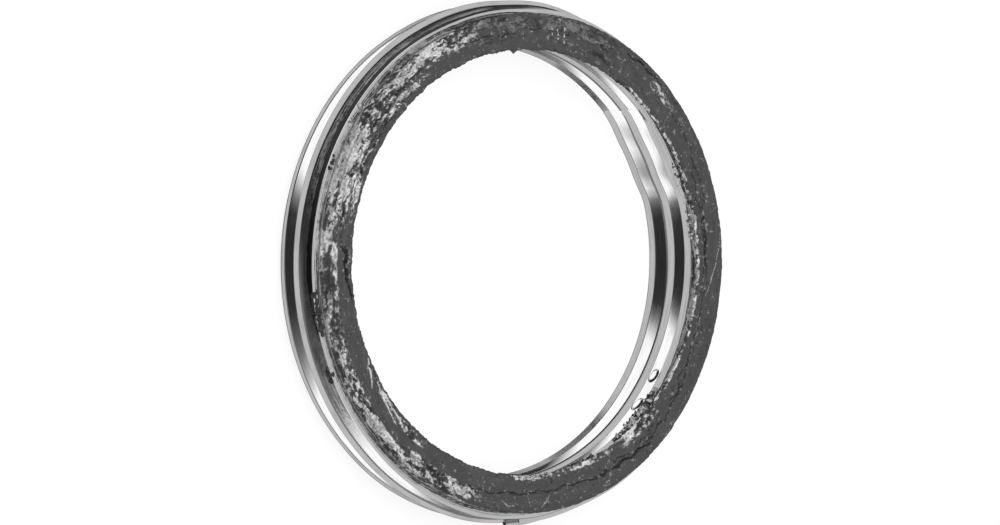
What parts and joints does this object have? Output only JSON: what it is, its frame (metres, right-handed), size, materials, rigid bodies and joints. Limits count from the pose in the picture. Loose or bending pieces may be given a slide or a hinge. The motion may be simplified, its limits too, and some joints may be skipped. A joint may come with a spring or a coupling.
{
  "type": "exhaust gasket",
  "caption": "Spiral-wound exhaust gasket ring: a thin ribbed stainless strip wound on itself, with a soft graphite face pressed out on one side to seal a pipe flange in a round port.",
  "frame": {"origin": "centre of the ring, in the plane of the strip's back edges, which seat at the bottom of the port", "axes": "+Z along the ring's axis, out of the port towards the graphite face and the pipe flange; +X towards the side that the graphite face leans to; +Y completes the frame"},
  "size_m": [0.0422, 0.0422, 0.0056],
  "materials": {
    "steel": "rolled stainless strip, bright, with fine marks along the winding",
    "graphite": "flexible graphite, smooth dark grey face with torn, silvery edges"
  },
  "bodies": {
    "root": {"steel_winding": "steel", "graphite_filler": "graphite"}
  },
  "joints": []
}
